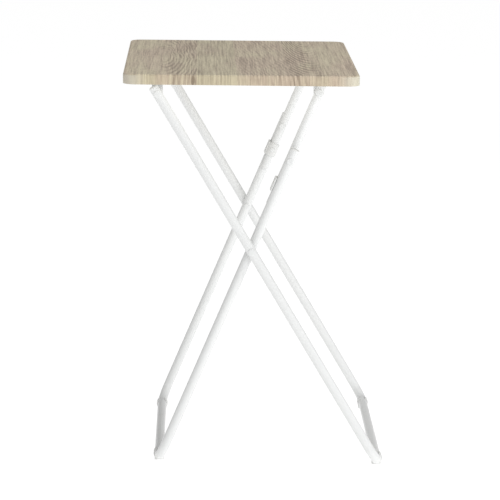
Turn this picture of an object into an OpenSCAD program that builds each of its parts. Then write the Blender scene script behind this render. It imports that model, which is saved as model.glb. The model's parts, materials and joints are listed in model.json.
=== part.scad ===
// Folding tray table: a decor-covered board on two crossed tube frames that share a pivot, held
// open by two brace arms which run past dead centre against a stop clip. Millimetres, +Z up,
// +X to the right, +Y to the rear, origin on the floor under the middle of the whole table.

/* [Tray board] */
// Length of the board from left to right
tray_l = 386; // [320:1:464]
// Depth of the board from front to rear
tray_d = 484; // [400:1:580]
// Thickness of the finished board
tray_t = 16.5; // [12:0.5:22]
// Radius of the board's corners in plan
corner_r = 21; // [10:1:30]
// Radius of the board's upper edge
nosing_r = 3; // [1.5:0.5:8]
// Thickness of the decor foil on the top and the edges
foil_t = 0.5; // [0.3:0.1:1]
// Thickness of the sheet that backs the board
backing_t = 0.5; // [0.3:0.1:1]

/* [Stance] */
// Height of the tray's upper face above the floor
table_h = 670; // [600:1:720]
// Outer frame's foot, to the right of the board's middle
outer_foot_x = 238; // [200:1:260]
// Inner frame's foot, to the left of the board's middle
inner_foot_x = 131; // [110:1:150]
// Outer frame's hinge, to the left of the board's middle
leg_hinge_x = 137; // [125:1:145]
// Brace hinge, to the right of the board's middle
brace_hinge_x = 129; // [115:1:140]
// Depth of the hinge axes below the board
hinge_drop = 18; // [18:0.5:26]

/* [Frames] */
// Outside diameter of the frame tubes
tube_d = 16; // [14:0.5:18]
// Wall of the frame tubes and the brace arms
tube_wall = 1.2; // [0.8:0.1:2]
// Radius of the frame bends at the tube's centre line
bend_r = 32; // [24:1:45]
// Distance of the outer frame's tubes from the board's front and rear edges
frame_inset = 25; // [18:1:40]
// Gap between neighbouring tubes on one pivot
lane_gap = 2; // [2:0.1:4]
// Length of the outer frame's tube past its hinge
outer_end = 11.5; // [5.5:0.5:12]
// Length of the inner frame's tube past the brace pivot
inner_end = 20; // [10:1:22]

/* [Brace arms] */
// Outside diameter of the brace arms
arm_d = 14; // [12:0.5:16]
// Length of the arm past the brace pivot to its tail
arm_tail = 80; // [70:1:90]
// Length of the arm past its hinge on the board
arm_end = 11.5; // [5.5:0.5:12]
// Distance of the stop clip's rivet from the brace pivot
clip_at = 46; // [42:1:52]
// Length of the stop clip along the arm
clip_l = 24; // [16:1:30]
// Wall of the stop clip
clip_t = 2.5; // [2:0.1:4]

/* [Brackets] */
// Thickness of the bracket steel
bracket_t = 2; // [1.5:0.1:3]
// Width of a bracket along the board
bracket_w = 30; // [26:1:40]
// Depth of the plate that is screwed to the board
bracket_d = 32; // [26:1:40]
// Radius of the rounded end of the bracket's cheek
cheek_r = 9; // [8.5:0.5:13]

/* [Fasteners] */
// Diameter of the pivot rivets
rivet_d = 6; // [4:0.5:7]
// Diameter of a rivet's head
head_d = 12; // [9:0.5:13]
// Thickness of a rivet's head
head_t = 1.3; // [1:0.1:1.5]
// Outside diameter of the spacer washers
washer_d = 14; // [11:0.5:16]
// Diameter of the clip rivets
clip_rivet_d = 4; // [3:0.5:5]
// Diameter of the bracket screws
screw_d = 3.5; // [3:0.5:4.5]
// Length of a bracket screw under its head
screw_l = 14; // [10:0.5:14]
// Diameter of a bracket screw's head
screw_head_d = 7; // [6:0.5:8]
// Height of a bracket screw's head
screw_head_h = 2.2; // [1.5:0.1:3]

/* [Plastic ends and feet] */
// Thickness of the rim of a tube's end cap
cap_t = 2; // [1.5:0.1:3]
// Wall of the foot glides
glide_wall = 2; // [1.5:0.1:3]
// Width of a foot glide along the tube
glide_w = 14; // [10:1:20]
// Thickness of a foot glide under the tube
pad_t = 3; // [3:0.1:5]

/* [Fits] */
// Radial clearance of a running pivot
run_gap = 0.05; // [0.02:0.01:0.1]
// Gap between pieces that move past each other
part_gap = 0.3; // [0.3:0.05:0.5]

/* [Hidden] */
$fn = 64;
steel = "whitesmoke";
zinc = "silver";
plastic = "white";

// The linkage seen from the front, as [x, z] points measured from the board's middle
foot_z = pad_t + tube_d / 2;
hinge_z = table_h - tray_t - hinge_drop;
leg_hinge = [-leg_hinge_x, hinge_z];
brace_hinge = [brace_hinge_x, hinge_z];
outer_foot = [outer_foot_x, foot_z];
inner_foot = [-inner_foot_x, foot_z];
outer_run = outer_foot - leg_hinge;
inner_run = inner_foot - brace_hinge;
leg_pivot = leg_hinge + outer_run
    * cross(brace_hinge - leg_hinge, inner_run) / cross(outer_run, inner_run);
outer_lean = atan2(-outer_run.x, -outer_run.y);
inner_lean = atan2(-inner_run.x, -inner_run.y);

// Link lengths. The brace pivot sits where all four links fold into one line.
pivot_to_leg_hinge = norm(leg_hinge - leg_pivot);
pivot_to_brace_hinge = norm(brace_hinge - leg_pivot);
hinge_span = norm(brace_hinge - leg_hinge);
pivot_to_brace = (pivot_to_brace_hinge + pivot_to_leg_hinge - hinge_span) / 2;
arm_reach = pivot_to_brace_hinge - pivot_to_brace;
outer_pivot_at = norm(leg_pivot - outer_foot);
outer_hinge_at = norm(leg_hinge - outer_foot);
inner_pivot_at = norm(leg_pivot - inner_foot);
inner_brace_at = inner_pivot_at + pivot_to_brace;

// Lanes across the depth: outer frame, inner frame, brace arm
tube_r = tube_d / 2;
arm_r = arm_d / 2;
outer_y = tray_d / 2 - frame_inset;
inner_y = outer_y - tube_d - lane_gap;
arm_y = inner_y - tube_r - lane_gap - arm_r;
glide_r = tube_r + glide_wall;
washer_t = lane_gap - part_gap;
board_z = table_h - tray_t;

// Middle of the whole table, which the origin stands under
right_x = max(tray_l / 2, outer_foot_x + glide_r);
left_x = -max(tray_l / 2, inner_foot_x + glide_r);
mid_x = (right_x + left_x) / 2;

SIDES = ["front", "rear"];

// Places a piece drawn for the rear side on the side named, in the table's own frame
module on_side(side) {
    translate([-mid_x, 0, 0]) mirror([0, side == "front" ? 1 : 0, 0]) children();
}

// Moves a piece to a point of the linkage, its own +Z turned along a leaning link
module at_link(point, lean = 0) {
    translate([point.x, 0, point.y]) rotate([0, lean, 0]) children();
}

// A round bar along +Y between two depths
module bar_y(from_y, to_y, d) {
    translate([0, from_y, 0]) rotate([-90, 0, 0]) cylinder(h = to_y - from_y, d = d);
}

// A low rivet head that grows from depth y, outwards for way 1 and inwards for way -1
module rivet_head(y, d, t, way) {
    translate([0, y, 0]) rotate([-90 * way, 0, 0]) rotate_extrude()
        polygon([[0, 0], [d / 2, 0], [d / 2, t / 3], [d / 3, t], [0, t]]);
}

// A flat washer between two depths
module washer(from_y, to_y) {
    difference() {
        bar_y(from_y, to_y, washer_d);
        bar_y(from_y - 1, to_y + 1, rivet_d);
    }
}

// A straight tube along +Z
module pipe(length, d) {
    difference() {
        cylinder(h = length, d = d);
        translate([0, 0, -1]) cylinder(h = length + 2, d = d - 2 * tube_wall);
    }
}

// A cross hole through a tube whose centre line is at the depth y, at a height along it
module cross_hole(y, height, d) {
    translate([0, 0, height]) bar_y(y - tube_d, y + tube_d, d);
}

// One tube bent into a U: a floor bar along Y and two legs along +Z
module bent_frame(y, leg_l, pivots) {
    difference() {
        union() {
            translate([0, -(y - bend_r), 0]) rotate([-90, 0, 0]) pipe(2 * (y - bend_r), tube_d);
            for (way = [0, 1]) mirror([0, way, 0]) {
                translate([0, y, bend_r]) pipe(leg_l - bend_r, tube_d);
                translate([0, y - bend_r, bend_r]) rotate([-90, 0, 90])
                    rotate_extrude(angle = 90) translate([bend_r, 0]) difference() {
                        circle(d = tube_d);
                        circle(d = tube_d - 2 * tube_wall);
                    }
            }
        }
        for (way = [-1, 1], pivot = pivots) cross_hole(way * y, pivot[0], pivot[1]);
    }
}

// A plug that closes a tube's end at z = 0, its rim above and its stem inside
module end_cap(d, stem) {
    bore_d = d - 2 * tube_wall;
    rotate_extrude() polygon([[0, -stem], [bore_d / 2, -stem], [bore_d / 2, 0], [d / 2, 0],
        [d / 2, cap_t * 0.4], [d / 2 - cap_t * 0.8, cap_t], [0, cap_t]]);
}

// A board's cross-section with its two upper corners rounded
module board_section(width, t, r) {
    translate([-width / 2, 0]) square([width, t - r]);
    translate([r - width / 2, 0]) square([width - 2 * r, t]);
    for (way = [-1, 1]) translate([way * (width / 2 - r), t - r]) circle(r = r);
}

// A flat board with rounded corners in plan and a rounded upper edge
module board(l, d, t, plan_r, edge_r) {
    rotate([90, 0, 90]) translate([0, 0, plan_r - l / 2])
        linear_extrude(l - 2 * plan_r) board_section(d, t, edge_r);
    rotate([90, 0, 0]) translate([0, 0, plan_r - d / 2])
        linear_extrude(d - 2 * plan_r) board_section(l, t, edge_r);
    for (x = [-1, 1], y = [-1, 1])
        translate([x * (l / 2 - plan_r), y * (d / 2 - plan_r), 0]) rotate_extrude() {
            square([plan_r, t - edge_r]);
            square([plan_r - edge_r, t]);
            translate([plan_r - edge_r, t - edge_r]) circle(r = edge_r);
        }
}

// Where the four brackets' screws go: [x, y] from the board's middle
leg_cheek_y = outer_y - tube_r - part_gap - washer_t;
brace_cheek_y = arm_y - arm_r - part_gap - washer_t;
screw_x = bracket_w / 2 - screw_head_d / 2 - 1;
screw_y = bracket_t + (bracket_d - bracket_t) / 2;
SCREWS = [for (x = [-screw_x, screw_x], y = [-1, 1])
    each [[-leg_hinge_x + x, y * (leg_cheek_y - screw_y)],
        [brace_hinge_x + x, y * (brace_cheek_y - screw_y)]]];

// The screws' shanks, also used to drill the board
module screw_shanks(from_z, length) {
    for (at = SCREWS) translate([at.x, at.y, from_z]) cylinder(h = length, d = screw_d);
}

// Board core of fibreboard, with pilot holes for the bracket screws
module tray_core() color("tan") translate([-mid_x, 0, 0]) difference() {
    translate([0, 0, board_z + backing_t])
        board(tray_l - 2 * foil_t, tray_d - 2 * foil_t, tray_t - foil_t - backing_t,
            corner_r - foil_t, nosing_r - foil_t);
    screw_shanks(board_z - 1, screw_l - bracket_t + 1);
}

// Oak decor foil, drawn over the top and down the edges
module decor_foil() color([0.68, 0.63, 0.55]) translate([-mid_x, 0, board_z]) difference() {
    board(tray_l, tray_d, tray_t, corner_r, nosing_r);
    translate([0, 0, -1])
        board(tray_l - 2 * foil_t, tray_d - 2 * foil_t, tray_t - foil_t + 1,
            corner_r - foil_t, nosing_r - foil_t);
}

// Balancing sheet on the underside, inside the foil's edge
module backing_sheet() color("linen") translate([-mid_x, 0, 0]) difference() {
    translate([0, 0, board_z]) linear_extrude(backing_t) {
        square([tray_l - 2 * foil_t, tray_d - 2 * corner_r], center = true);
        square([tray_l - 2 * corner_r, tray_d - 2 * foil_t], center = true);
        for (x = [-1, 1], y = [-1, 1])
            translate([x * (tray_l / 2 - corner_r), y * (tray_d / 2 - corner_r)])
                circle(r = corner_r - foil_t);
    }
    screw_shanks(board_z - 1, backing_t + 2);
}

// Pressed steel angle: a plate under the board and a cheek that carries a hinge rivet
module bracket(hinge, cheek_y) color(steel) difference() {
    union() {
        translate([hinge.x - bracket_w / 2, cheek_y - bracket_d, board_z - bracket_t])
            cube([bracket_w, bracket_d, bracket_t]);
        translate([hinge.x - cheek_r, cheek_y - bracket_t, hinge.y])
            cube([2 * cheek_r, bracket_t, hinge_drop]);
        translate([hinge.x, 0, hinge.y]) bar_y(cheek_y - bracket_t, cheek_y, 2 * cheek_r);
    }
    translate([hinge.x, 0, hinge.y]) bar_y(cheek_y - bracket_t - 1, cheek_y + 1, rivet_d);
    for (x = [-screw_x, screw_x])
        translate([hinge.x + x, cheek_y - screw_y, board_z - bracket_t - 1])
            cylinder(h = bracket_t + 2, d = screw_d);
}

module leg_bracket(side) on_side(side) bracket(leg_hinge, leg_cheek_y);
module brace_bracket(side) on_side(side) bracket(brace_hinge, brace_cheek_y);

// Pan-head screws through the bracket plates into the core
module bracket_screws() color(zinc) translate([-mid_x, 0, 0]) {
    screw_shanks(board_z - bracket_t, screw_l);
    for (at = SCREWS) translate([at.x, at.y, board_z - bracket_t]) rotate([180, 0, 0])
        rotate_extrude() polygon([[0, 0], [screw_head_d / 2, 0],
            [screw_head_d / 2, screw_head_h / 2], [screw_head_d / 3, screw_head_h],
            [0, screw_head_h]]);
}

// Rivet fixed in a bracket, on which a tube turns
module hinge_rivet(hinge, cheek_y, y, r) color(zinc) at_link(hinge) {
    bar_y(cheek_y - bracket_t, y + r + part_gap, rivet_d);
    rivet_head(y + r + part_gap, head_d, head_t, 1);
    rivet_head(cheek_y - bracket_t, head_d, head_t, -1);
}

module leg_hinge_rivet(side) on_side(side) hinge_rivet(leg_hinge, leg_cheek_y, outer_y, tube_r);
module brace_hinge_rivet(side)
    on_side(side) hinge_rivet(brace_hinge, brace_cheek_y, arm_y, arm_r);

module leg_hinge_washer(side)
    color(plastic) on_side(side) at_link(leg_hinge) washer(leg_cheek_y, leg_cheek_y + washer_t);
module brace_hinge_washer(side) color(plastic) on_side(side)
    at_link(brace_hinge) washer(brace_cheek_y, brace_cheek_y + washer_t);

// Outer frame, hinged to the board on the left and standing on the right
module outer_leg_frame() color(steel) translate([-mid_x, 0, 0])
    at_link(outer_foot, outer_lean) bent_frame(outer_y, outer_hinge_at + outer_end,
        [[outer_pivot_at, rivet_d], [outer_hinge_at, rivet_d + 2 * run_gap]]);

// Inner frame, braced to the board on the right and standing on the left
module inner_leg_frame() color(steel) translate([-mid_x, 0, 0])
    at_link(inner_foot, inner_lean) bent_frame(inner_y, inner_brace_at + inner_end,
        [[inner_pivot_at, rivet_d + 2 * run_gap], [inner_brace_at, rivet_d]]);

module outer_cap(side) color(plastic) on_side(side) at_link(leg_hinge, outer_lean)
    translate([0, outer_y, outer_end]) end_cap(tube_d, outer_end - rivet_d / 2 - 1);
module inner_cap(side) color(plastic) on_side(side) at_link(inner_foot, inner_lean)
    translate([0, inner_y, inner_brace_at + inner_end]) end_cap(tube_d, tube_r);

// Clip-on foot: a split ring on the floor bar with a flat pad under it
module glide(foot, y) color(plastic) at_link(foot) difference() {
    union() {
        bar_y(y - glide_w, y, 2 * glide_r);
        translate([-tube_r, y - glide_w, -foot_z]) cube([tube_d, glide_w, foot_z]);
    }
    bar_y(y - glide_w - 1, y + 1, tube_d);
    translate([-tube_r / 2, y - glide_w - 1, 0]) cube([tube_r, glide_w + 2, 2 * glide_r]);
}

module outer_glide(side) on_side(side) glide(outer_foot, outer_y - bend_r);
module inner_glide(side) on_side(side) glide(inner_foot, inner_y - bend_r);

// Rivet that joins the two frames: fixed in the outer one, turning in the inner one
module leg_pivot_rivet(side) color(zinc) on_side(side) at_link(leg_pivot) {
    bar_y(inner_y - tube_r - part_gap, outer_y + tube_r, rivet_d);
    rivet_head(outer_y + tube_r, head_d, head_t, 1);
    rivet_head(inner_y - tube_r - part_gap, head_d - 2, head_t, -1);
}
module leg_pivot_washer(side) color(plastic) on_side(side)
    at_link(leg_pivot) washer(outer_y - tube_r - washer_t, outer_y - tube_r);

// Brace pivot: a screw through the inner frame meets a barrel nut through the brace arm
module brace_screw(side) color(zinc) on_side(side) at_link(inner_foot, inner_lean)
    translate([0, 0, inner_brace_at]) {
        bar_y(inner_y - tube_r, inner_y + tube_r, rivet_d);
        rivet_head(inner_y + tube_r, head_d, head_t, 1);
    }
module brace_nut(side) color(zinc) on_side(side) at_link(inner_foot, inner_lean)
    translate([0, 0, inner_brace_at]) {
        bar_y(arm_y - arm_r, arm_y + arm_r + washer_t, rivet_d);
        rivet_head(arm_y - arm_r, head_d, head_t, -1);
    }
module brace_washer(side) color(plastic) on_side(side) at_link(inner_foot, inner_lean)
    translate([0, 0, inner_brace_at]) washer(arm_y + arm_r, arm_y + arm_r + washer_t);

// Straight brace arm, from its tail past the brace pivot up to its hinge on the board
module brace_arm(side) color(steel) on_side(side) at_link(brace_hinge, inner_lean)
    difference() {
        translate([0, arm_y, -arm_reach - arm_tail])
            pipe(arm_tail + arm_reach + arm_end, arm_d);
        cross_hole(arm_y, 0, rivet_d + 2 * run_gap);
        cross_hole(arm_y, -arm_reach, rivet_d);
        cross_hole(arm_y, -arm_reach - clip_at, clip_rivet_d);
    }
module brace_top_cap(side) color(plastic) on_side(side) at_link(brace_hinge, inner_lean)
    translate([0, arm_y, arm_end]) end_cap(arm_d, arm_end - rivet_d / 2 - 1);
module brace_tail_cap(side) color(plastic) on_side(side) at_link(brace_hinge, inner_lean)
    translate([0, arm_y, -arm_reach - arm_tail]) rotate([180, 0, 0]) end_cap(arm_d, arm_r);

// Clip round the inside of the arm, with a tab on which the inner frame's tube comes to rest
tab_x = tube_r + part_gap;
tab_end_y = inner_y + tube_r / 2 - arm_y;
clip_r = arm_r + clip_t;
module stop_clip(side) color(plastic) on_side(side) at_link(brace_hinge, inner_lean)
    translate([0, arm_y, -arm_reach - clip_at - clip_l / 2]) difference() {
        union() {
            intersection() {
                cylinder(h = clip_l, r = clip_r);
                translate([-clip_r, -clip_r, 0]) cube([2 * clip_r, clip_r, clip_l]);
            }
            translate([-tab_x - clip_t, -clip_t, 0]) cube([clip_t, tab_end_y + clip_t, clip_l]);
            translate([-tab_x, -clip_t, 0]) cube([tab_x - arm_r / 2, 2 * clip_t, clip_l]);
        }
        translate([0, 0, -1]) cylinder(h = clip_l + 2, r = arm_r);
        translate([0, 0, clip_l / 2]) bar_y(-clip_r - 1, 0, clip_rivet_d);
    }
module clip_rivet(side) color(zinc) on_side(side) at_link(brace_hinge, inner_lean)
    translate([0, 0, -arm_reach - clip_at]) {
        bar_y(arm_y - clip_r, arm_y + arm_r, clip_rivet_d);
        rivet_head(arm_y + arm_r, 2 * clip_rivet_d, head_t, 1);
        rivet_head(arm_y - clip_r, 2 * clip_rivet_d, head_t, -1);
    }

tray_core();
decor_foil();
backing_sheet();
bracket_screws();
outer_leg_frame();
inner_leg_frame();
for (side = SIDES) {
    leg_bracket(side);
    brace_bracket(side);
    leg_hinge_rivet(side);
    brace_hinge_rivet(side);
    leg_hinge_washer(side);
    brace_hinge_washer(side);
    outer_cap(side);
    outer_glide(side);
    leg_pivot_rivet(side);
    leg_pivot_washer(side);
    inner_cap(side);
    inner_glide(side);
    brace_screw(side);
    brace_arm(side);
    brace_tail_cap(side);
    brace_top_cap(side);
    stop_clip(side);
    clip_rivet(side);
    brace_nut(side);
    brace_washer(side);
}
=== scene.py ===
import json
import math

import bmesh
import bpy
from mathutils import Matrix, Vector


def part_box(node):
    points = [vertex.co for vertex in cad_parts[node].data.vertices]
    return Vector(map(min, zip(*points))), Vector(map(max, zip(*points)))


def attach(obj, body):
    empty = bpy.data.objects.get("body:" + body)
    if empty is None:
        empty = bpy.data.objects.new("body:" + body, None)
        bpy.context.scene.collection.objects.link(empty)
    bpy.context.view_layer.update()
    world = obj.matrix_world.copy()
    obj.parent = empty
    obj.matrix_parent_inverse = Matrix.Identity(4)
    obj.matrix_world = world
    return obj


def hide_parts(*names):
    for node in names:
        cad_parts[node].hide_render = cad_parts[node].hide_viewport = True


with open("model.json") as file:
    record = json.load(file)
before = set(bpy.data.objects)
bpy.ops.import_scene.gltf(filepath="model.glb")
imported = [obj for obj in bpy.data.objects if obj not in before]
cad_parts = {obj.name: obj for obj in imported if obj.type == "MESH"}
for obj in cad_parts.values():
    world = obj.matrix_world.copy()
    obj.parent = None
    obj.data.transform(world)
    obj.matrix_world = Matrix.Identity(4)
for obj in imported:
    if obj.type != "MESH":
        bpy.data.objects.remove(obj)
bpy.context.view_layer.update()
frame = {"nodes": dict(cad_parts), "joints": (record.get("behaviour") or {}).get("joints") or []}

scene = bpy.context.scene

# The view: a long lens in front of the table and a little to its left, looking down on the
# tray from about half a metre above it.
lens = bpy.data.cameras.new("long_lens")
lens.lens = 174.8
camera = bpy.data.objects.new("camera", lens)
camera.matrix_world = (
    Matrix.Translation((-0.0995, -4.1487, 1.1867))
    @ Matrix.Rotation(-0.0228, 4, "Z")
    @ Matrix.Rotation(math.pi / 2 - 0.2032, 4, "X")
    @ Matrix.Rotation(0.0133, 4, "Z")
)
scene.collection.objects.link(camera)
scene.camera = camera
scene.view_settings.view_transform = "Standard"


# The studio: a wide white floor that glows, as a light table does, white walls all round, a
# soft box high in front, a second one overhead and a strip box on the right for the edges.
class Wire:
    """An output of a node. A sum written with it adds the Math nodes that work it out."""

    def __init__(self, tree, socket=None):
        self.tree = tree
        self.socket = socket

    def feed(self, node, inputs):
        for key, value in dict(inputs).items():
            if isinstance(value, Wire):
                self.tree.links.new(value.socket, node.inputs[key])
            else:
                node.inputs[key].default_value = value

    def node(self, kind, settings=(), inputs=(), output=0):
        made = self.tree.nodes.new(kind)
        for name, value in dict(settings).items():
            setattr(made, name, value)
        self.feed(made, inputs)
        return Wire(self.tree, made.outputs[output])

    def math(self, operation, *values):
        return self.node("ShaderNodeMath", {"operation": operation}, enumerate(values))

    def __add__(self, other):
        return self.math("ADD", self, other)

    def __sub__(self, other):
        return self.math("SUBTRACT", self, other)

    def __rsub__(self, other):
        return self.math("SUBTRACT", other, self)

    def __mul__(self, other):
        return self.math("MULTIPLY", self, other)

    def __truediv__(self, other):
        return self.math("DIVIDE", self, other)

    def __gt__(self, other):
        return self.math("GREATER_THAN", self, other)

    def __lt__(self, other):
        return self.math("LESS_THAN", self, other)

    __radd__ = __add__
    __rmul__ = __mul__

    def ease(self, low, high):
        """Runs smoothly from 0 to 1 as this value goes from low to high."""
        settings = {"interpolation_type": "SMOOTHSTEP"}
        inputs = {"Value": self, "From Min": low, "From Max": high}
        return self.node("ShaderNodeMapRange", settings, inputs)

    def tint(self, low, high):
        """A colour that runs from low to high as this value goes from 0 to 1."""
        inputs = {0: self, 6: low, 7: high}
        return self.node("ShaderNodeMix", {"data_type": "RGBA"}, inputs, 2)

    def noise(self, stretch, detail=2.0):
        """Noise over this place, with its scale along each axis."""
        place = self.node("ShaderNodeVectorMath", {"operation": "MULTIPLY"}, {0: self, 1: stretch})
        return place.node("ShaderNodeTexNoise", (), {"Vector": place, "Scale": 1, "Detail": detail})


def new_finish(name):
    """A material with its Principled shader and a Wire that writes its nodes."""
    made = bpy.data.materials.new(name)
    made.use_nodes = True
    return made, made.node_tree.nodes["Principled BSDF"], Wire(made.node_tree)


def link_mesh(name, bm, finish):
    """An object of a mesh that has just been drawn, with its faces turned outwards."""
    bmesh.ops.remove_doubles(bm, verts=bm.verts, dist=1e-6)
    bmesh.ops.recalc_face_normals(bm, faces=bm.faces)
    mesh = bpy.data.meshes.new(name)
    bm.to_mesh(mesh)
    bm.free()
    mesh.materials.append(finish)
    made = bpy.data.objects.new(name, mesh)
    scene.collection.objects.link(made)
    return made


paper, shader, wire = new_finish("floor_paper")
place = wire.node("ShaderNodeTexCoord", output="Object")
mottle = place.noise((0.7, 0.7, 0.7)) - 0.5
wire.feed(shader, {"Roughness": 0.9 + mottle * 0.05, "Specular IOR Level": 0.0})
wire.feed(shader, {"Base Color": (0.45, 0.45, 0.45, 1), "Emission Color": (1, 1, 1, 1)})
wire.feed(shader, {"Emission Strength": 0.82})
bm = bmesh.new()
bmesh.ops.create_grid(bm, x_segments=1, y_segments=1, size=20)
link_mesh("floor", bm, paper)

scene.world = bpy.data.worlds.new("white_walls")
scene.world.use_nodes = True
walls = scene.world.node_tree.nodes["Background"]
walls.inputs["Color"].default_value = (1, 1, 1, 1)
walls.inputs["Strength"].default_value = 0.38
SOFT_BOXES = {
    "front_box": ((1.2, -3.6, 2.1), 2.0, 1.8, 45),
    "top_box": ((0.2, 0.1, 2.9), 1.6, 1.6, 19),
    "right_strip": ((2.4, -1.2, 0.9), 0.8, 2.0, 14),
}
for name, (place, width, height, power) in SOFT_BOXES.items():
    box = bpy.data.lights.new(name, "AREA")
    box.shape = "RECTANGLE"
    box.size = width
    box.size_y = height
    box.energy = power
    lamp = bpy.data.objects.new(name, box)
    lamp.location = place
    lamp.rotation_euler = (Vector((0, 0, 0.45)) - Vector(place)).to_track_quat("-Z", "Y").to_euler()
    scene.collection.objects.link(lamp)


# The tray board: 16 mm fibreboard under a printed oak foil that wraps its rounded upper edge
# and its sides in one piece, so the grain runs on down the edges. The underside is papered.
def fit(made, body, slot, *nodes, sharp=32):
    """Puts a finished mesh on a body of the frame in place of the nodes it stands for."""
    made.data.polygons.foreach_set("use_smooth", [True] * len(made.data.polygons))
    made.data.set_sharp_from_angle(angle=math.radians(sharp))
    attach(made, body)
    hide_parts(*nodes)


def corner_loop(low, high, radius, inset, z, steps=10):
    """A rounded rectangle of points: its corners, inset and height."""
    points = []
    corners = ((high.x, high.y), (low.x, high.y), (low.x, low.y), (high.x, low.y))
    for quarter, (x, y) in enumerate(corners):
        inward_x = radius if x == low.x else -radius
        inward_y = radius if y == low.y else -radius
        middle = Vector((x + inward_x, y + inward_y, z))
        for step in range(steps + 1):
            turn = math.radians(90) * (quarter + step / steps)
            points.append(middle + Vector((math.cos(turn), math.sin(turn), 0)) * (radius - inset))
    return points


def skin(bm, loops):
    """Joins a run of loops of points into a closed skin and returns its rings of vertices."""
    rings = [[bm.verts.new(point) for point in loop] for loop in loops]
    for ring, other in zip(rings, rings[1:]):
        for i in range(len(ring)):
            j = (i + 1) % len(ring)
            bm.faces.new((ring[i], ring[j], other[j], other[i]))
    bm.faces.new(rings[0])
    bm.faces.new(rings[-1])
    return rings


CORNER = 0.021
NOSING = 0.003
NOSING_STEPS = 8
FOIL = 0.0005
RIM = 0.0008
low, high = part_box("decor_foil")
middle = (low + high) / 2
oak, shader, wire = new_finish("oak_foil")
flat = wire.node("ShaderNodeAttribute", {"attribute_name": "flat"}, output="Vector")
split = flat.node("ShaderNodeSeparateXYZ", (), {0: flat})
across = split
along = Wire(split.tree, split.socket.node.outputs["Y"])
over = Wire(split.tree, split.socket.node.outputs["Z"])
sway = flat.noise((11, 3.2, 1), 3) - 0.5
ripple = flat.noise((55, 9, 1), 3) - 0.5
# Each printed plank: where it begins, the middle of its figure, the ring widths across and
# along the plank, the slant of its arcs, the lean of its grain, how far its rings wander, where
# and which way they fade in, how strong they are, and its tone.
PLANKS = (
    (-0.300, -0.130, 0.010, 0.0054, 0.042, 0.00, 0.00, 1.00, -0.118, 1.0, 0.60, 0.50),
    (-0.073, -0.330, 0.000, 0.0060, 0.300, 0.10, 0.00, 0.25, 0.000, 0.0, 0.20, 0.15),
    (-0.008, -0.230, 0.000, 0.0068, 0.400, 0.00, 0.13, 0.70, 0.000, 0.0, 0.36, 0.62),
    (0.079, 0.115, 0.290, 0.0040, 0.032, 0.90, 0.00, 0.25, 0.113, -1.0, 0.80, 0.50),
)
KNOT_AT = (-0.079, -0.250)
figure = list(PLANKS[0][1:])
for before, plank in zip(PLANKS, PLANKS[1:]):
    beyond = across > plank[0]
    figure = [value + beyond * (new - old) for value, new, old in zip(figure, plank[1:], before[1:])]
mid_x, mid_y, ring_wide, ring_long, slant, lean, roam, fade_at, fade_way, depth_of, tone = figure
off_x = across - mid_x + along * lean
off_y = along - mid_y + off_x * slant
wander = (sway * 4.5 + ripple * 2.6) * roam
ring_x = off_x / ring_wide + wander
ring_y = off_y / ring_long + wander * 0.7
square = ring_x * ring_x + ring_y * ring_y
rings = square.math("SQRT", square)
wave = (rings * (2 * math.pi)).math("SINE", rings * (2 * math.pi))
fading = (fade_way * (across - fade_at)).ease(-0.028, 0.012) * rings.ease(0.6, 2.4)
gaps = flat.noise((38, 11, 1), 2).ease(0.34, 0.60)
late = (wave * 0.5 + 0.5).ease(0.25, 1.0) * fading * (0.25 + gaps * 0.75) * depth_of
strokes = flat.noise((520, 11, 1), 3) - 0.5
bands = flat.noise((170, 3.5, 1), 3) - 0.5
pores = flat.noise((1500, 55, 1), 3).ease(0.54, 0.72)
patches = flat.noise((16, 5, 1), 2) - 0.5
flecks = flat.noise((300, 75, 1), 2) - 0.5
end_x = across - KNOT_AT[0]
end_y = (along - KNOT_AT[1]) * 0.5
knot = end_x * end_x + end_y * end_y
knot = 1 - knot.math("SQRT", knot).ease(0.0015, 0.0055)
side = over.ease(0.001, 0.004)
streaks = strokes * 1.4 + bands * 0.9 + flecks * 0.6 + late * 0.75
shade = 0.39 + streaks * (1 - side * 0.35) + patches * 0.5 + pores * 0.16 + knot * 0.5
base = shade.ease(-0.1, 1.1).tint((0.72, 0.62, 0.475, 1), (0.27, 0.215, 0.155, 1))
hue = (tone + patches * 2.2 + bands * 0.8 + late * 0.4).ease(0.0, 1.0)
toned = hue.tint((0.985, 1.015, 0.93, 1), (1.03, 0.98, 0.97, 1))
stained = {"data_type": "RGBA", "blend_type": "MULTIPLY"}
base = base.node("ShaderNodeMix", stained, {0: 1.0, 6: base, 7: toned}, 2)
# Painted highlight: the foil on the sides is paled towards the rounded end corners, partly as the foil's own
# paling where it is stretched round them and partly as painted highlight where the corners face the lights.
corners = side * across.math("ABSOLUTE", across).ease(0.150, 0.185) * 0.45
base = corners.tint(base, (0.70, 0.70, 0.61, 1))
relief = 0.6 - pores * 0.5 - late * 0.3
bump = relief.node("ShaderNodeBump", (), {"Strength": 0.35, "Distance": 0.00012, "Height": relief})
wire.feed(shader, {"Base Color": base, "Roughness": 0.40 + pores * 0.16 + late * 0.06, "Normal": bump})

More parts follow.
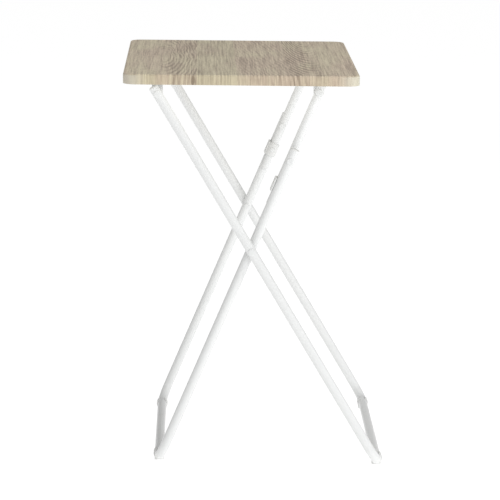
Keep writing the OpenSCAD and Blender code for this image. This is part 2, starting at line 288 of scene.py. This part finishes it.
# The foil is one skin, up inside the edges and down outside them. Each point keeps its place
# on the foil laid flat, and how far past the upper edge it lies.
bm = bmesh.new()
layer = bm.verts.layers.float_vector.new("flat")
loops = [corner_loop(low, high, CORNER, NOSING + RIM, high.z - FOIL)]
for step in range(NOSING_STEPS + 1):
    turn = math.radians(90) * step / NOSING_STEPS
    inset = NOSING - (NOSING - FOIL) * math.sin(turn)
    level = high.z - NOSING + (NOSING - FOIL) * math.cos(turn)
    loops.append(corner_loop(low, high, CORNER, inset, level))
loops.append(corner_loop(low, high, CORNER, FOIL, low.z))
loops.append(corner_loop(low, high, CORNER, 0, low.z))
for step in range(NOSING_STEPS, -1, -1):
    turn = math.radians(90) * step / NOSING_STEPS
    inset = NOSING * (1 - math.sin(turn))
    level = high.z - NOSING * (1 - math.cos(turn))
    loops.append(corner_loop(low, high, CORNER, inset, level))
loops.append(corner_loop(low, high, CORNER, NOSING + RIM, high.z))
rings = skin(bm, loops)
arris = corner_loop(low, high, CORNER, NOSING, high.z)
for ring, loop in zip(rings, loops):
    for i, (vertex, point) in enumerate(zip(ring, loop)):
        away = arris[i] - loops[0][i]
        out = Vector((point.x - arris[i].x, point.y - arris[i].y)).length
        down = high.z - point.z
        turn = math.atan2(out, max(NOSING - down, 0))
        reach = NOSING * turn + max(down - NOSING, 0) if down > 0 and ring is not rings[0] else 0
        unrolled = arris[i] + Vector((away.x, away.y, 0)).normalized() * reach if reach else point
        vertex[layer] = Vector((unrolled.x - middle.x, unrolled.y - middle.y, reach))
foil = link_mesh("printed_oak_foil", bm, oak)
fit(foil, "tray", "oak_decor", "decor_foil")

backing, shader, wire = new_finish("underside_paper")
place = wire.node("ShaderNodeTexCoord", output="Object")
fibres = place.noise((900, 160, 1), 3) - 0.5
clouds = place.noise((25, 18, 1), 3) - 0.5
paper_tone = (0.5 + fibres * 1.2 + clouds).tint((0.70, 0.68, 0.63, 1), (0.80, 0.785, 0.74, 1))
wire.feed(shader, {"Base Color": paper_tone, "Roughness": 0.62 + clouds * 0.2})
bm = bmesh.new()
low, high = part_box("backing_sheet")
skin(bm, [corner_loop(low, high, CORNER - FOIL, 0, level) for level in (low.z, high.z)])
fit(link_mesh("underside_sheet", bm, backing), "tray", "backing", "backing_sheet")

core, shader, wire = new_finish("sawn_fibreboard")
place = wire.node("ShaderNodeTexCoord", output="Object")
chips = place.noise((1100, 1100, 2600), 4)
sawdust = chips.ease(0.3, 0.7).tint((0.42, 0.31, 0.20, 1), (0.62, 0.50, 0.36, 1))
wire.feed(shader, {"Base Color": sawdust, "Roughness": 0.75 + chips * 0.2})
for held in frame["nodes"]["tray_core"].material_slots:
    held.material = core


# The two leg frames: 16 mm steel tube, each bent into a U whose bar lies on the floor, then
# powder coated white. The wall shows only where the ends would be open, under the plugs.
def new_tree(name, sizes):
    """A Geometry Nodes tree with a guide mesh, named sizes and a finish for its inputs."""
    tree = bpy.data.node_groups.new(name, "GeometryNodeTree")
    tree.interface.new_socket("Guide", in_out="INPUT", socket_type="NodeSocketGeometry")
    tree.interface.new_socket("Result", in_out="OUTPUT", socket_type="NodeSocketGeometry")
    for size in sizes:
        tree.interface.new_socket(size, in_out="INPUT", socket_type="NodeSocketFloat")
    tree.interface.new_socket("Finish", in_out="INPUT", socket_type="NodeSocketMaterial")
    source = tree.nodes.new("NodeGroupInput")
    return tree, {socket.name: Wire(tree, socket) for socket in source.outputs if socket.name}


def close_tree(shape, given):
    """Ends a tree: instances become real, and the finish goes on."""
    whole = shape.node("GeometryNodeRealizeInstances", (), {0: shape})
    coated = whole.node("GeometryNodeSetMaterial", (), {"Geometry": whole, "Material": given["Finish"]})
    result = coated.tree.nodes.new("NodeGroupOutput")
    coated.tree.links.new(coated.socket, result.inputs[0])


def grow(name, tree, guide, sizes, finish):
    """An object that grows a piece on its guide mesh, still to be settled into plain mesh."""
    guide.materials.append(finish)
    made = bpy.data.objects.new(name, guide)
    scene.collection.objects.link(made)
    growth = made.modifiers.new("growth", "NODES")
    growth.node_group = tree
    for socket in tree.interface.items_tree:
        if socket.in_out == "INPUT" and socket.name in sizes:
            growth[socket.identifier] = float(sizes[socket.name])
        if socket.name == "Finish":
            growth[socket.identifier] = finish
    return made


def settle(made, wall=None, bevel=None):
    """Gives a piece its wall and its rounded edges, and turns all of it into plain mesh."""
    if wall:
        skin_of = made.modifiers.new("wall", "SOLIDIFY")
        skin_of.thickness, skin_of.offset = wall
        skin_of.use_even_offset = True
    if bevel:
        edge = made.modifiers.new("edge", "BEVEL")
        edge.width = bevel
        edge.segments = 3
        edge.angle_limit = math.radians(40)
    bpy.context.view_layer.update()
    solid = made.evaluated_get(bpy.context.evaluated_depsgraph_get())
    shape = bpy.data.meshes.new_from_object(solid)
    finish = [held for held in shape.materials if held][-1]
    shape.materials.clear()
    shape.materials.append(finish)
    shape.polygons.foreach_set("material_index", [0] * len(shape.polygons))
    made.modifiers.clear()
    made.data = shape
    return made


coat, shader, wire = new_finish("white_powder_coat")
place = wire.node("ShaderNodeTexCoord", output="Object")
height = place.node("ShaderNodeSeparateXYZ", (), {0: place}, "Z")
peel = place.noise((620, 620, 620), 2)
drift = place.noise((7, 7, 7), 3) - 0.5
scuffs = place.noise((90, 90, 300), 4).ease(0.56, 0.72) * (1 - height.ease(0.005, 0.05))
white = (0.5 + drift).tint((0.795, 0.805, 0.80, 1), (0.83, 0.835, 0.83, 1))
bump = peel.node("ShaderNodeBump", (), {"Strength": 0.25, "Distance": 0.00005, "Height": peel})
wire.feed(shader, {"Base Color": (scuffs * 0.12).tint(white, (0.42, 0.41, 0.39, 1)), "Normal": bump})
wire.feed(shader, {"Roughness": 0.34 + drift * 0.1 + scuffs * 0.2})

tube_tree, given = new_tree("bent_tube", ("Diameter", "Bend Radius"))
path = given["Guide"].node("GeometryNodeMeshToCurve", (), {0: given["Guide"]})
bends = {"Curve": path, "Count": 14, "Radius": given["Bend Radius"]}
path = path.node("GeometryNodeFilletCurve", {"mode": "POLY"}, bends)
round_section = {"Resolution": 48, "Radius": given["Diameter"] / 2}
section = path.node("GeometryNodeCurvePrimitiveCircle", (), round_section)
close_tree(path.node("GeometryNodeCurveToMesh", (), {0: path, 1: section}), given)


def path_mesh(points):
    """A guide line through points."""
    mesh = bpy.data.meshes.new("guide")
    mesh.from_pydata(points, [(i, i + 1) for i in range(len(points) - 1)], [])
    return mesh


TUBE = 0.016
TUBE_WALL = 0.0012
BEND = 0.032
pin_at = {joint["name"]: Vector(joint["pos_m"]) for joint in frame["joints"]}
leg_hinge = pin_at["tray_fold"]
brace_hinge = pin_at["front_brace_fold"]
low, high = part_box("brace_washer_rear")
brace_pivot = Vector(((low.x + high.x) / 2, 0, (low.z + high.z) / 2))
feet = {}
for frame_name in ("outer", "inner"):
    low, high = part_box(f"{frame_name}_glide_rear")
    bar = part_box(f"{frame_name}_leg_frame")[0].z + TUBE / 2
    feet[frame_name] = Vector(((low.x + high.x) / 2, 0, bar))
LEG_ENDS = {"outer": (leg_hinge, 0.0115), "inner": (brace_pivot, 0.020)}
depth = {}
for frame_name, (top, past) in LEG_ENDS.items():
    foot = feet[frame_name]
    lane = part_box(f"{frame_name}_leg_frame")[1].y - TUBE / 2
    depth[frame_name] = lane
    tip = top + (top - foot).normalized() * past
    corners = [(tip, -lane), (foot, -lane), (foot, lane), (tip, lane)]
    guide = path_mesh([(point.x, y, point.z) for point, y in corners])
    tube = grow(f"bent_{frame_name}_tube", tube_tree, guide, {"Diameter": TUBE, "Bend Radius": BEND}, coat)
    fit(settle(tube, wall=(TUBE_WALL, -1)), f"{frame_name}_legs", "white_steel", f"{frame_name}_leg_frame")

# The two brace arms: straight 14 mm tube in the same white coat. Each turns on its hinge under
# the tray, crosses the inner frame at the brace pivot and runs on past it to a free tail.
SIDES = {"front": -1, "rear": 1}
ARM = 0.014
ARM_PAST_HINGE = 0.0115
ARM_TAIL = 0.080
arm_way = (brace_hinge - feet["inner"]).normalized()
arm_top = brace_hinge + arm_way * ARM_PAST_HINGE
arm_end = brace_pivot - arm_way * ARM_TAIL
arm_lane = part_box("brace_arm_rear")[1].y - ARM / 2
for side, way in SIDES.items():
    guide = path_mesh([(point.x, way * arm_lane, point.z) for point in (arm_end, arm_top)])
    arm = grow(f"brace_tube_{side}", tube_tree, guide, {"Diameter": ARM, "Bend Radius": 0.0}, coat)
    fit(settle(arm, wall=(TUBE_WALL, -1)), f"{side}_brace", "white_steel", f"brace_arm_{side}")


# The plugs in the tubes' open ends: white moulded plastic with a domed rim as wide as the tube
# and a stem that is pushed into the bore.
def headed_pin(given):
    """A turned pin: a rounded head above zero, the shank under it and a second head below."""
    index = given["Guide"].node("GeometryNodeInputIndex")
    place = (index - 8.5).math("ABSOLUTE", index - 8.5)
    upper = index < 8.5
    shank = place < 1
    lean = (place - 2.5).math("MAXIMUM", place - 2.5, 0.0) * math.radians(15)
    radius = given["Far Radius"] + (given["Head Radius"] - given["Far Radius"]) * upper
    height = given["Far Height"] + (given["Head Height"] - given["Far Height"]) * upper
    rim = height * given["Rim Share"]
    rounded = radius * given["Rounding"] * (1 - lean.math("COSINE", lean))
    reach = (radius - rounded) * (1 - shank) + given["Shank Radius"] * shank
    rise = (rim + (height - rim) * lean.math("SINE", lean)) * (place > 2) - shank * 0.00002
    level = rise * (upper * 2 - 1) - given["Length"] * (1 - upper)
    spine = index.node("GeometryNodeMeshLine", (), {"Count": 18})
    spine = spine.node("GeometryNodeMeshToCurve", (), {0: spine})
    spot = level.node("ShaderNodeCombineXYZ", (), {"Z": level * -1})
    spine = spine.node("GeometryNodeSetPosition", (), {"Geometry": spine, "Position": spot})
    section = spine.node("GeometryNodeCurvePrimitiveCircle", (), {"Resolution": 32, "Radius": 1.0})
    swept = {0: spine, 1: section, "Scale": reach, "Fill Caps": True}
    pin = spine.node("GeometryNodeCurveToMesh", (), swept)
    return pin.node("GeometryNodeTransform", (), {"Geometry": pin, "Rotation": (math.pi, 0, 0)})


def stand_on_points(shape, given):
    """A copy of a shape at each guide point, its own +Z along the point's way."""
    way = shape.node("GeometryNodeInputNamedAttribute", {"data_type": "FLOAT_VECTOR"}, {"Name": "way"})
    turn = way.node("FunctionNodeAlignRotationToVector", (), {"Vector": way})
    stood = {"Points": given["Guide"], "Instance": shape, "Rotation": turn}
    return shape.node("GeometryNodeInstanceOnPoints", (), stood)


PIN_SIZES = ("Head Radius", "Head Height", "Shank Radius", "Length", "Far Radius", "Far Height",
             "Rim Share", "Rounding")
pin_tree, given = new_tree("headed_pin", PIN_SIZES)
close_tree(stand_on_points(headed_pin(given), given), given)


def guide_points(points):
    """A guide mesh of (place, way) pairs."""
    mesh = bpy.data.meshes.new("guide")
    mesh.from_pydata([place for place, way in points], [], [])
    ways = mesh.attributes.new("way", "FLOAT_VECTOR", "POINT")
    ways.data.foreach_set("vector", [value for place, way in points for value in way])
    return mesh


plastic, shader, wire = new_finish("white_moulded_plastic")
place = wire.node("ShaderNodeTexCoord", output="Object")
grain = place.noise((1700, 1700, 1700), 2)
flow = place.noise((60, 60, 60), 2) - 0.5
bump = grain.node("ShaderNodeBump", (), {"Strength": 0.3, "Distance": 0.00004, "Height": grain})
wire.feed(shader, {"Base Color": (0.5 + flow).tint((0.74, 0.745, 0.735, 1), (0.79, 0.79, 0.775, 1))})
wire.feed(shader, {"Roughness": 0.46 + flow * 0.12, "Normal": bump})


def turned(name, points, sizes, finish, body, slot, *nodes):
    """Turned pieces at (place, way) points, given in the order of PIN_SIZES."""
    made = grow(name, pin_tree, guide_points(points), dict(zip(PIN_SIZES, sizes)), finish)
    fit(settle(made), body, slot, *nodes)


def both(name):
    return f"{name}_front", f"{name}_rear"


CAP = 0.002
# The height of a plug's inner end, the share of its head that is straight rim, its rounding.
PLUG_END = (0.0002, 0.35, 0.24)
for frame_name, (top, past) in LEG_ENDS.items():
    up = (top - feet[frame_name]).normalized()
    ends = [(top + up * past + Vector((0, way * depth[frame_name], 0)), up) for way in SIDES.values()]
    stem = 0.0075 if frame_name == "outer" else 0.008
    bore = TUBE / 2 - TUBE_WALL
    sizes = (TUBE / 2, CAP, bore, stem, bore, *PLUG_END)
    turned(f"{frame_name}_tube_plugs", ends, sizes, plastic, f"{frame_name}_legs", "white_plastic",
           *both(f"{frame_name}_cap"))
for side, way in SIDES.items():
    lane = Vector((0, way * arm_lane, 0))
    bore = ARM / 2 - TUBE_WALL
    for where, end, out, stem in (("top", arm_top, arm_way, 0.0075), ("tail", arm_end, -arm_way, 0.007)):
        sizes = (ARM / 2, CAP, bore, stem, bore, *PLUG_END)
        turned(f"brace_{where}_plug_{side}", [(end + lane, out)], sizes, plastic, f"{side}_brace",
               "white_plastic", f"brace_{where}_cap_{side}")

# The pivots: 6 mm steel rivets with low domed heads, coated white with the frames, and at each
# brace pivot a screw from outside that meets a headed barrel nut through the arm.
rivet_coat, shader, wire = new_finish("coated_rivet")
place = wire.node("ShaderNodeTexCoord", output="Object")
rub = place.noise((420, 420, 420), 3)
bump = rub.node("ShaderNodeBump", (), {"Strength": 0.3, "Distance": 0.00008, "Height": rub})
worn = rub.ease(0.60, 0.74) * 0.35
wire.feed(shader, {"Base Color": worn.tint((0.79, 0.80, 0.795, 1), (0.58, 0.58, 0.57, 1)), "Normal": bump})
wire.feed(shader, {"Roughness": 0.32 + worn * 0.3, "Metallic": worn * 0.5})
RIVET = 0.003
HEAD = 0.006
SMALL_HEAD = 0.005
DOME = 0.0013
CLIP_RIVET = 0.002
CLIP_HEAD = 0.004
FLAT_END = 0.0001


def pair_of(node, facing):
    """Where the outer head of a pin stands at the front and the rear, and which way it faces."""
    found = []
    for side, way in SIDES.items():
        low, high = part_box(f"{node}_{side}")
        edge = high.y if way * facing > 0 else low.y
        out = Vector((0, way * facing, 0))
        head = Vector(((low.x + high.x) / 2, edge, (low.z + high.z) / 2)) - out * DOME
        found.append((head, out, high.y - low.y))
    return found


# Name, the node it stands for, its body, the outer head's facing, and the far head's radius
# and height.
for name, node, body, facing, far, far_height in (
    ("leg_hinge_rivets", "leg_hinge_rivet", "tray", 1, HEAD, DOME),
    ("brace_hinge_rivets", "brace_hinge_rivet", "tray", 1, HEAD, DOME),
    ("leg_pivot_rivets", "leg_pivot_rivet", "outer_legs", 1, SMALL_HEAD, DOME),
    ("brace_pivot_screws", "brace_screw", "inner_legs", 1, RIVET, FLAT_END),
    ("brace_pivot_nut", "brace_nut", "brace", -1, RIVET, FLAT_END),
    ("clip_pin", "clip_rivet", "brace", 1, CLIP_HEAD, DOME),
):
    head = CLIP_HEAD if name == "clip_pin" else HEAD
    shank = CLIP_RIVET if name == "clip_pin" else RIVET
    found = pair_of(node, facing)
    length = found[0][2] - DOME - far_height
    sizes = (head, DOME, shank, length, far, far_height, 0.25, 0.55)
    points = [pin[:2] for pin in found]
    if body == "brace":
        for side, point in zip(SIDES, points):
            turned(f"{name}_{side}", [point], sizes, rivet_coat, f"{side}_brace", "rivets", f"{node}_{side}")
    else:
        turned(name, points, sizes, rivet_coat, body, "rivets", *both(node))

# The spacers on the pivots: thin white plastic washers that keep the coated tubes apart.
WASHER = 0.007
ring_tree, given = new_tree("washer", ("Outer Radius", "Hole Radius", "Thickness"))
middle_radius = (given["Outer Radius"] + given["Hole Radius"]) / 2
hoop = middle_radius.node("GeometryNodeCurvePrimitiveCircle", (), {"Resolution": 40, "Radius": middle_radius})
width = given["Outer Radius"] - given["Hole Radius"]
section = width.node("GeometryNodeCurvePrimitiveQuadrilateral", (), {0: width, 1: given["Thickness"]})
section = section.node("GeometryNodeFilletCurve", {"mode": "POLY"},
                       {"Curve": section, "Count": 3, "Radius": given["Thickness"] * 0.25})
ring = hoop.node("GeometryNodeCurveToMesh", (), {0: hoop, 1: section})
close_tree(stand_on_points(ring, given), given)
for name, node, body in (
    ("leg_hinge_spacers", "leg_hinge_washer", "tray"),
    ("brace_hinge_spacers", "brace_hinge_washer", "tray"),
    ("leg_pivot_spacers", "leg_pivot_washer", "outer_legs"),
    ("brace_pivot_spacer", "brace_washer", "brace"),
):
    spots = {}
    for side in SIDES:
        low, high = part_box(f"{node}_{side}")
        spots[side] = ((low + high) / 2, Vector((0, 1, 0)))
        thick = high.y - low.y
    sizes = {"Outer Radius": WASHER, "Hole Radius": RIVET, "Thickness": thick}
    if body == "brace":
        for side, spot in spots.items():
            made = grow(f"{name}_{side}", ring_tree, guide_points([spot]), sizes, plastic)
            fit(settle(made), f"{side}_brace", "white_plastic", f"{node}_{side}")
    else:
        made = grow(name, ring_tree, guide_points(list(spots.values())), sizes, plastic)
        fit(settle(made), body, "white_plastic", *both(node))


# The four brackets: pressed from 2 mm steel and coated white. A plate with rounded corners is
# screwed under the board, bent down into a round-ended cheek, with a bead pressed over the bend.
def sheet_strip(rows, columns, bead):
    """A bent strip of sheet: rows of (depth, height, half width, bead share)."""
    bm = bmesh.new()
    grid = []
    for at, (depth_at, level, half, share) in enumerate(rows):
        before, after = rows[max(at - 1, 0)], rows[min(at + 1, len(rows) - 1)]
        normal = Vector((0, -(after[1] - before[1]), after[0] - before[0])).normalized()
        line = []
        for column in range(columns + 1):
            x = half * (2 * column / columns - 1)
            lift = bead * share * math.exp(-((x / 0.0035) ** 2))
            line.append(bm.verts.new(Vector((x, depth_at, level)) + normal * lift))
        grid.append(line)
    for line, other in zip(grid, grid[1:]):
        for i in range(columns):
            bm.faces.new((line[i], line[i + 1], other[i + 1], other[i]))
    return bm


PLATE = 0.002
PLATE_CORNER = 0.004
BEND_IN = 0.003
CHEEK = 0.009
BEAD_DEPTH = 0.0009
for bracket in ("leg", "brace"):
    for side, way in SIDES.items():
        low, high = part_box(f"{bracket}_bracket_{side}")
        outer_face = high.y if way > 0 else low.y
        hinge_x = (low.x + high.x) / 2
        half = (high.x - low.x) / 2
        reach = high.y - low.y - PLATE / 2 - BEND_IN
        hinge_drop = high.z - PLATE / 2 - (low.z + CHEEK)
        rows = []
        for step in range(9):
            turn = math.radians(90) * step / 8
            inset = PLATE_CORNER * (1 - math.sin(turn))
            rows.append((PLATE_CORNER * (1 - math.cos(turn)), 0, half - inset, 0))
        for step in range(1, 9):
            share = step / 8
            run = PLATE_CORNER + (reach - PLATE_CORNER) * share
            rows.append((run, 0, half, max(0.0, share * 2 - 1)))
        for step in range(1, 9):
            turn = math.radians(90) * step / 8
            narrow = half - (half - CHEEK) * step / 8
            rows.append((reach + BEND_IN * math.sin(turn), -BEND_IN * (1 - math.cos(turn)), narrow, 1))
        straight = hinge_drop - BEND_IN
        for step in range(1, 7):
            rows.append((reach + BEND_IN, -BEND_IN - straight * step / 6, CHEEK, max(0.0, 1 - step / 3)))
        for step in range(1, 13):
            turn = math.radians(90) * step / 12
            rows.append((reach + BEND_IN, -hinge_drop - CHEEK * math.sin(turn), CHEEK * math.cos(turn), 0))
        bm = sheet_strip(rows, 16, -BEAD_DEPTH)
        stand = Matrix.Translation((hinge_x, outer_face - way * (high.y - low.y), high.z - PLATE / 2))
        bm.transform(stand @ Matrix.Diagonal((1, way, 1, 1)))
        made = link_mesh(f"pressed_{bracket}_bracket_{side}", bm, coat)
        settle(made, wall=(PLATE, 0), bevel=0.0003)
        fit(made, "tray", "white_steel", f"{bracket}_bracket_{side}")

# The bracket screws: zinc-plated pan heads with a cross recess, two through each plate.
SCREW = 0.00175
SCREW_HEAD = 0.0035
SCREW_DOME = 0.0022
SCREW_LONG = 0.0138
SCREW_EDGE = 0.001
zinc, shader, wire = new_finish("zinc_plate")
place = wire.node("ShaderNodeTexCoord", output="Object")
spangle = place.noise((500, 500, 500), 3)
plated = spangle.ease(0.35, 0.7).tint((0.60, 0.60, 0.58, 1), (0.80, 0.80, 0.77, 1))
wire.feed(shader, {"Base Color": plated, "Metallic": 1.0, "Roughness": 0.26 + spangle * 0.2})
screw_tree, given = new_tree("pan_head_screw", (*PIN_SIZES, "Recess Length", "Recess Width"))
pin = headed_pin(given)
cuts = []
for length, width in (("Recess Length", "Recess Width"), ("Recess Width", "Recess Length")):
    deep = given["Head Height"] * 1.6
    size = pin.node("ShaderNodeCombineXYZ", (), {"X": given[length], "Y": given[width], "Z": deep})
    slot_cut = size.node("GeometryNodeMeshCube", (), {"Size": size})
    lift = pin.node("ShaderNodeCombineXYZ", (), {"Z": given["Head Height"] * 1.1})
    cuts.append(slot_cut.node("GeometryNodeTransform", (), {"Geometry": slot_cut, "Translation": lift}))
carve = {"operation": "DIFFERENCE", "solver": "EXACT"}
for cut in cuts:
    pin = pin.node("GeometryNodeMeshBoolean", carve, {0: pin, 1: cut})
close_tree(stand_on_points(pin, given), given)
spots = []
for bracket in ("leg", "brace"):
    for side, way in SIDES.items():
        low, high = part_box(f"{bracket}_bracket_{side}")
        y = (low.y + high.y) / 2 - way * PLATE / 2
        for x in (low.x + SCREW_HEAD + SCREW_EDGE, high.x - SCREW_HEAD - SCREW_EDGE):
            spots.append((Vector((x, y, high.z - PLATE)), Vector((0, 0, -1))))
sizes = (SCREW_HEAD, SCREW_DOME, SCREW, SCREW_LONG, SCREW, 0.0002, 0.2, 0.6)
sizes = {**dict(zip(PIN_SIZES, sizes)), "Recess Length": 0.0042, "Recess Width": 0.0011}
made = grow("pan_head_screws", screw_tree, guide_points(spots), sizes, zinc)
fit(settle(made), "tray", "zinc_screws", "bracket_screws")


# The foot glides: white plastic rings, split at the top and snapped on the floor bar where it
# bends up, each with a flat pad under it.
def extrude(name, outline, length, place, finish, bevel):
    """A plate of an outline in its own x and y, drawn up along its own +Z, edges rounded."""
    bm = bmesh.new()
    base = [bm.verts.new((x, y, 0)) for x, y in outline]
    top = [bm.verts.new((x, y, length)) for x, y in outline]
    for i in range(len(base)):
        j = (i + 1) % len(base)
        bm.faces.new((base[i], base[j], top[j], top[i]))
    bm.faces.new(base)
    bm.faces.new(top)
    bm.transform(place)
    return settle(link_mesh(name, bm, finish), bevel=bevel)


def arc(radius, start, end, steps):
    """Points on a circle between two angles in degrees."""
    turns = [math.radians(start + (end - start) * step / steps) for step in range(steps + 1)]
    return [(radius * math.cos(turn), radius * math.sin(turn)) for turn in turns]


GLIDE = 0.010
SPLIT = 0.004
split_out = math.degrees(math.acos(SPLIT / GLIDE))
split_in = math.degrees(math.acos(SPLIT / (TUBE / 2)))
pad_turn = math.degrees(math.acos(TUBE / 2 / GLIDE))
for frame_name, foot in feet.items():
    pad = [(TUBE / 2, -foot.z), (-TUBE / 2, -foot.z)]
    outline = arc(GLIDE, split_out, -pad_turn, 14) + pad + arc(GLIDE, 180 + pad_turn, 180 - split_out, 14)
    outline += arc(TUBE / 2, 180 - split_in, 360 + split_in, 30)
    for side, way in SIDES.items():
        low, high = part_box(f"{frame_name}_glide_{side}")
        place = Matrix.Translation((foot.x, high.y, foot.z)) @ Matrix.Rotation(math.pi / 2, 4, "X")
        made = extrude(f"{frame_name}_foot_{side}", outline, high.y - low.y, place, plastic, 0.0006)
        fit(made, f"{frame_name}_legs", "white_plastic", f"{frame_name}_glide_{side}", sharp=40)

# The stop clips: white plastic, riveted round the inside of each arm's tail, with a tab that
# the inner frame's tube comes to rest on when the table stands open.
CLIP_AT = 0.046
CLIP_LONG = 0.024
CLIP_WALL = 0.0025
TAB = 0.0083
tab_tip = depth["inner"] + TUBE / 4 - arm_lane
clip_out = ARM / 2 + CLIP_WALL
web_turn = math.degrees(math.asin(CLIP_WALL / clip_out))
hole_turn = math.degrees(math.asin(CLIP_WALL / (ARM / 2)))
outline = arc(clip_out, 0, -180 + web_turn, 18)
outline += [(-TAB - CLIP_WALL, -CLIP_WALL), (-TAB - CLIP_WALL, tab_tip), (-TAB, tab_tip), (-TAB, CLIP_WALL)]
outline += arc(ARM / 2, 180 - hole_turn, 360, 20)
lean = math.atan2(arm_way.x, arm_way.z)
clip_foot = brace_pivot - arm_way * (CLIP_AT + CLIP_LONG / 2)
for side, way in SIDES.items():
    place = Matrix.Translation(clip_foot + Vector((0, way * arm_lane, 0))) @ Matrix.Rotation(lean, 4, "Y")
    place = place @ Matrix.Diagonal((1, way, 1, 1))
    made = extrude(f"stop_clip_{side}_piece", outline, CLIP_LONG, place, plastic, 0.0006)
    fit(made, f"{side}_brace", "white_plastic", f"stop_clip_{side}", sharp=40)
